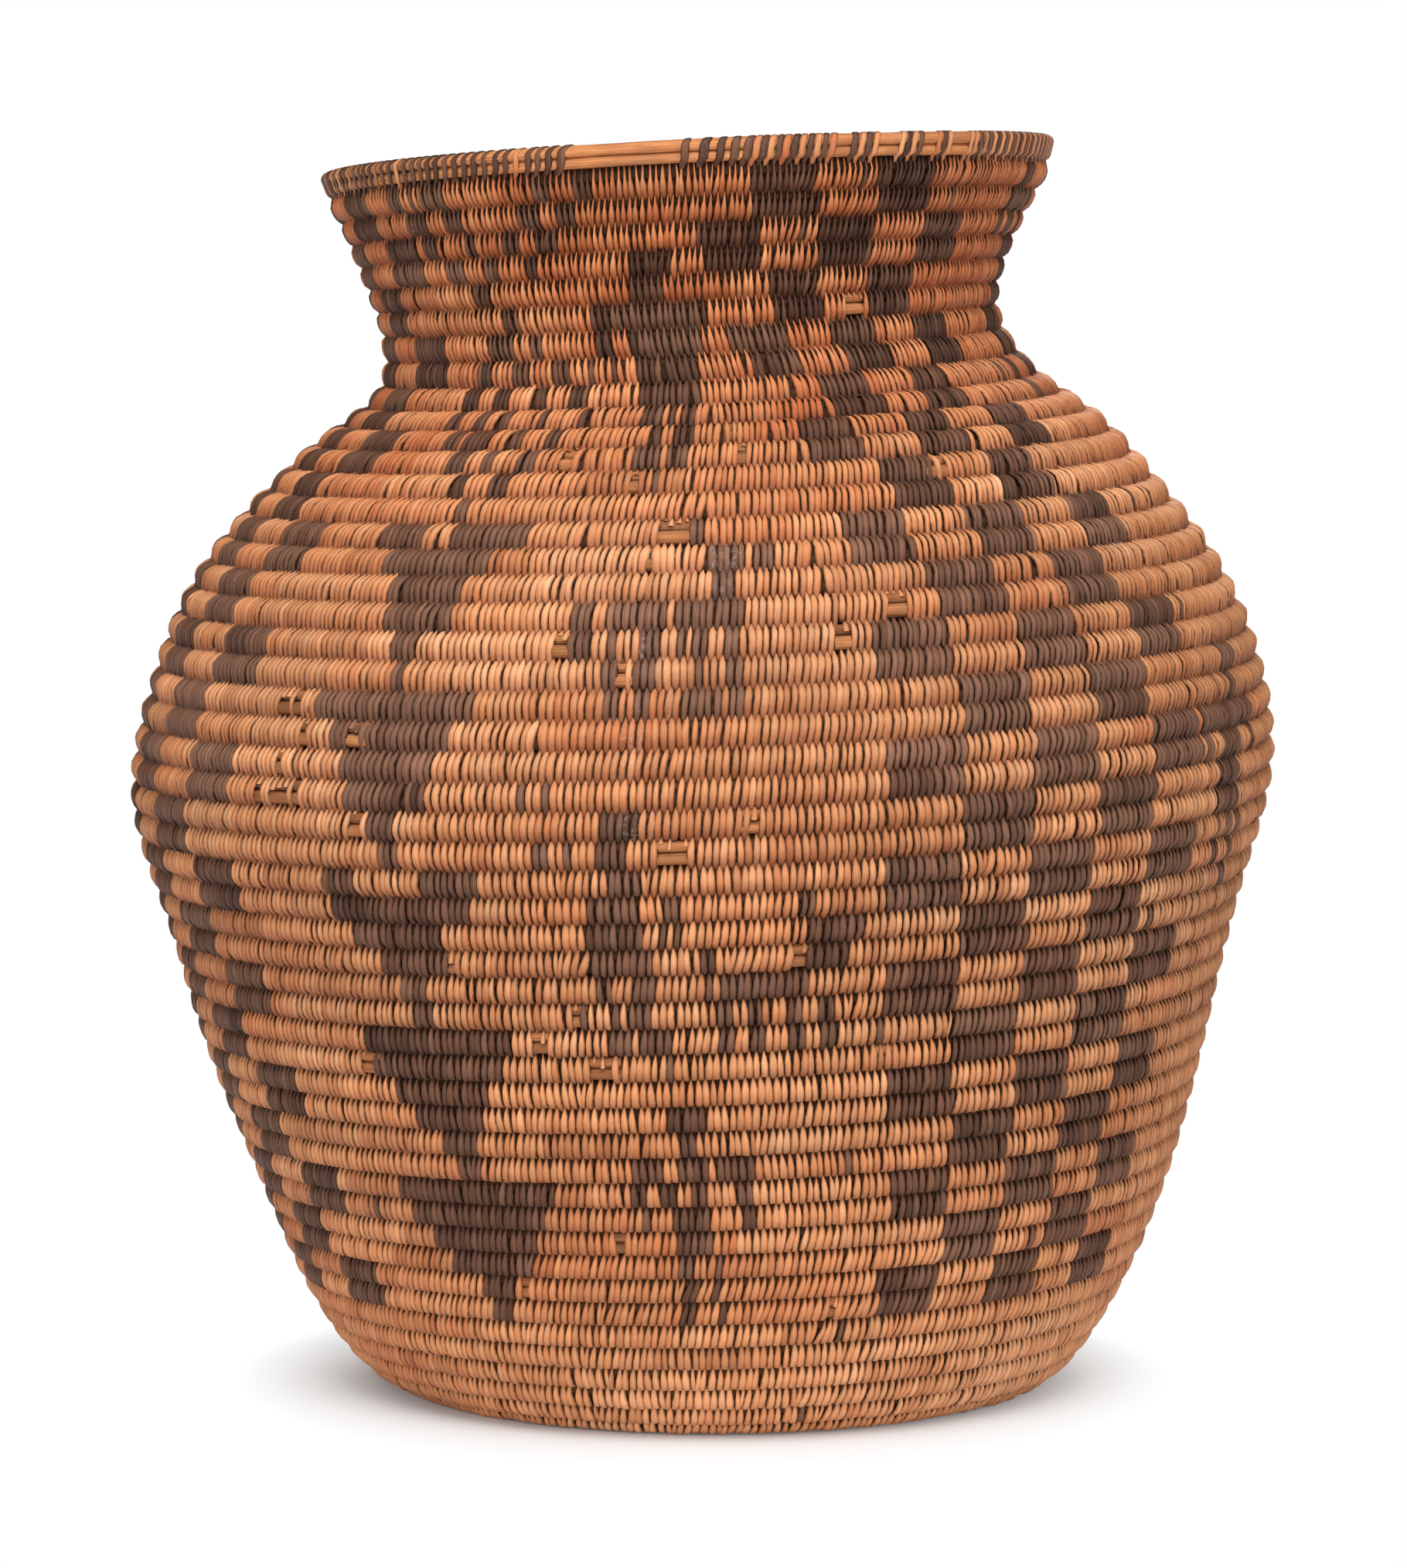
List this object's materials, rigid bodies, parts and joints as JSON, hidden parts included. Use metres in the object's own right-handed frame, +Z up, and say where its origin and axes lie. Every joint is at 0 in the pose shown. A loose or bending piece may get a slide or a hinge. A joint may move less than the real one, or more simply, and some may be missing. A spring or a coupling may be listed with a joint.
{
  "type": "coiled storage basket",
  "caption": "Coiled storage jar of sewn basketry: flat base, full belly, high shoulder, drawn-in neck and flared mouth with a rim of rods lashed by splints.",
  "frame": {"origin": "on the floor, under the middle of the jar", "axes": "+Z up the jar, -Y is the front that the picture shows, +X to its right"},
  "size_m": [0.3027, 0.3026, 0.3313],
  "materials": {
    "light_splint": "peeled willow splint, honey brown, satin",
    "pale_splint": "peeled willow splint, paler and drier near the foot",
    "red_splint": "peeled willow splint, darkened to red brown by handling",
    "dark_splint": "dark seed-pod splint, brown black, satin",
    "bare_rod": "peeled willow rod, straw coloured, split and weathered"
  },
  "bodies": {
    "root": {"start_knot": "pale_splint", "base_coil": "pale_splint", "foot_coil": "pale_splint", "heel_coil": "pale_splint", "lower_wall_coil": "pale_splint", "middle_wall_coil": "pale_splint", "upper_wall_coil": "light_splint", "belly_coil": "light_splint", "belly_top_coil": "light_splint", "low_shoulder_coil": "light_splint", "shoulder_coil": "light_splint", "high_shoulder_coil": "light_splint", "neck_foot_coil": "red_splint", "neck_coil": "red_splint", "mouth_coil": "red_splint", "rim_rod_lower": "bare_rod", "rim_rod_upper": "bare_rod", "rim_rod_inner": "bare_rod", "left_dark_lashing": "dark_splint", "left_light_lashing": "red_splint", "right_dark_lashing": "dark_splint", "right_light_lashing": "red_splint"}
  },
  "joints": []
}
